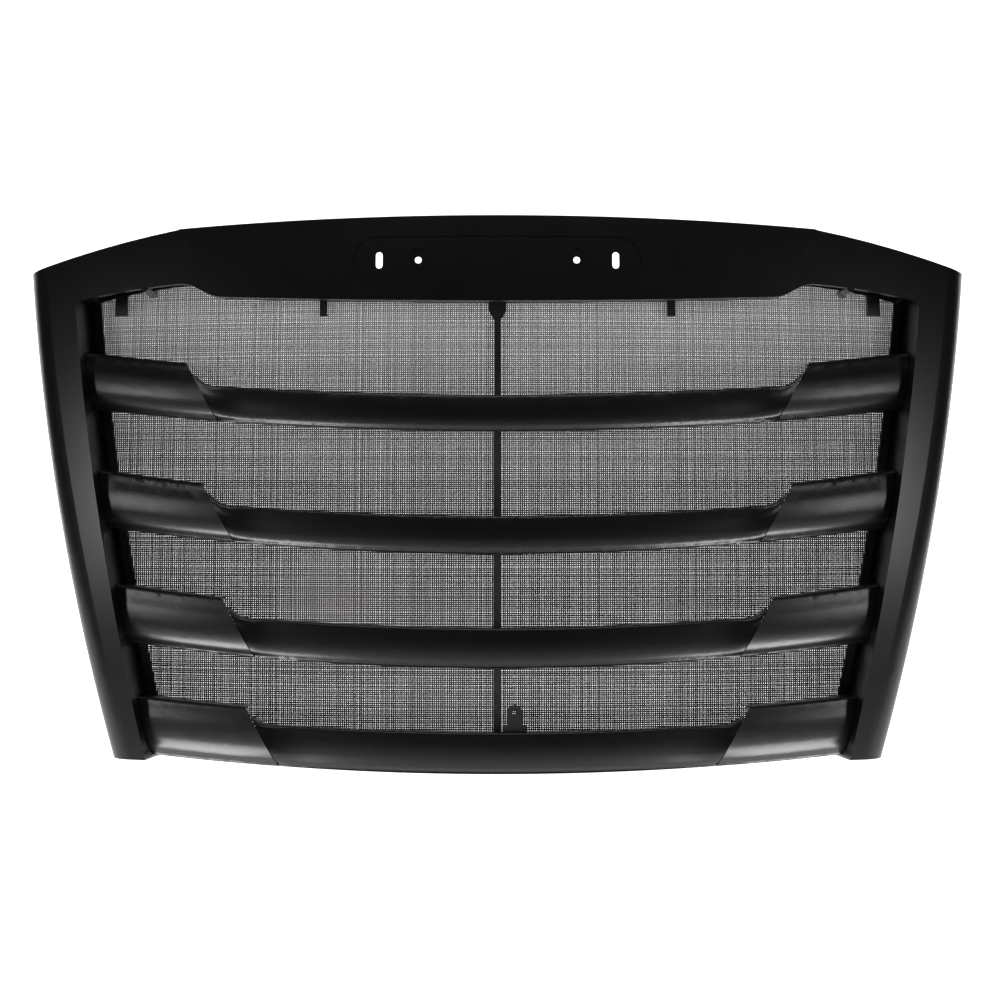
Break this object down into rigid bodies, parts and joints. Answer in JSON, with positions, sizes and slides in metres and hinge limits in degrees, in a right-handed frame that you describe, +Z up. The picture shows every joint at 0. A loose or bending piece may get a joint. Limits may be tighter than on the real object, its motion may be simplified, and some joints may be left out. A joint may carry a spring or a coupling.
{
  "type": "front grille",
  "caption": "Black moulded front grille for a heavy truck: a top panel and two pillars carrying stepped horizontal louvers over an insect screen.",
  "frame": {"origin": "midway between the two upper hood bolts, in the plane of the bracket faces", "axes": "+X to the grille's right seen from the front, +Y back into the engine bay, +Z up"},
  "size_m": [1.274, 0.2278, 0.7276],
  "materials": {
    "moulded_black": "satin",
    "louver_black": "satin",
    "screen_cloth": "matte",
    "binding_black": "matte",
    "strut_black": "matte",
    "clip_black": "matte",
    "zinc_steel": "satin",
    "coated_steel": "satin",
    "rubber": "matte"
  },
  "bodies": {
    "root": {"surround": "moulded_black", "louver_1": "louver_black", "louver_2": "louver_black", "louver_3": "louver_black", "louver_4": "louver_black", "screen_mesh": "screen_cloth", "screen_binding": "binding_black", "centre_strut": "strut_black", "strut_lug": "clip_black", "top_hooks": "clip_black", "corner_tabs": "clip_black", "louver_screws": "zinc_steel", "strut_screws": "zinc_steel", "screen_rivets": "clip_black", "bracket_screws": "zinc_steel", "top_trim": "rubber", "side_trim_left": "rubber", "side_trim_right": "rubber", "bracket_upper_left": "coated_steel", "bracket_upper_right": "coated_steel", "bracket_lower_left": "coated_steel", "bracket_lower_right": "coated_steel", "bracket_top_left": "coated_steel", "bracket_top_right": "coated_steel"}
  },
  "joints": []
}
